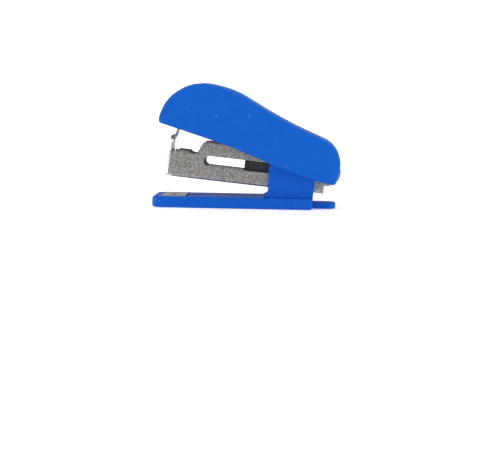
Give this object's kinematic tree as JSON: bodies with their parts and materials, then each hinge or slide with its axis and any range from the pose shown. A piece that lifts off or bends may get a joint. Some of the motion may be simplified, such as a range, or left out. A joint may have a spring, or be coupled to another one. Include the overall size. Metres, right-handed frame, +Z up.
{
  "type": "mini desk stapler",
  "caption": "Small desk stapler: plastic base and hinged hollow cover over a tilting steel magazine with pusher, staple strip and driver blade, shown at rest.",
  "frame": {"origin": "on the surface that the stapler stands on, under the middle of the whole object", "axes": "+X from the nose to the rear hinge, +Y across the stapler, +Z up"},
  "size_m": [0.0592, 0.018, 0.0391],
  "materials": {
    "base_plastic": "satin moulded blue",
    "cover_plastic": "satin moulded blue",
    "zinc_sheet": "speckled zinc-plated sheet",
    "bright_steel": "bright nickel plate",
    "staple_wire": "galvanised wire",
    "spring_wire": "drawn spring wire",
    "black_nylon": "moulded black"
  },
  "bodies": {
    "base": {"base_body": "base_plastic", "anvil_plate": "bright_steel", "magazine_spring": "spring_wire"},
    "magazine": {"magazine_channel": "zinc_sheet", "nose_plate": "bright_steel", "rod_bracket": "zinc_sheet", "bracket_rivet_near": "bright_steel", "bracket_rivet_far": "bright_steel", "pusher_rod": "bright_steel", "pusher_spring": "spring_wire", "staple_strip": "staple_wire", "rear_bush": "black_nylon", "return_spring": "spring_wire"},
    "pusher_block": {"pusher": "black_nylon"},
    "cover": {"cover_shell": "cover_plastic", "hammer_leaf": "zinc_sheet", "leaf_rivet_front": "bright_steel", "leaf_rivet_rear": "bright_steel", "rear_pin": "bright_steel", "hook_pin": "spring_wire"},
    "driver": {"driver_blade": "bright_steel"}
  },
  "joints": [
    {"name": "magazine_hinge", "type": "hinge", "parent": "base", "child": "magazine", "pos_m": [0.01365, 0, 0.0102], "axis": [0, -1, 0], "range_deg": [0, 8.6], "stiffness_Nm_per_rad": 0.5, "springref_deg": -5.73, "deforming": ["magazine_spring"]},
    {"name": "cover_hinge", "type": "hinge", "parent": "magazine", "child": "cover", "pos_m": [0.02525, 0, 0.01175], "axis": [0, -1, 0], "range_deg": [-90, 6.5], "stiffness_Nm_per_rad": 0.3, "deforming": ["return_spring"]},
    {"name": "blade_hinge", "type": "hinge", "parent": "cover", "child": "driver", "pos_m": [-0.02358, 0, 0.02186], "axis": [0, -1, 0], "range_deg": [-6.6, 91]},
    {"name": "pusher_slide", "type": "slide", "parent": "magazine", "child": "pusher_block", "axis": [0.9952, 0, -0.0976], "range_m": [0, 0.0045], "stiffness_N_per_m": 60, "springref_m": -0.02, "deforming": ["pusher_spring"]}
  ],
  "couplings": [
    {"joint": "blade_hinge", "follows": "cover_hinge", "ratio": -1}
  ]
}
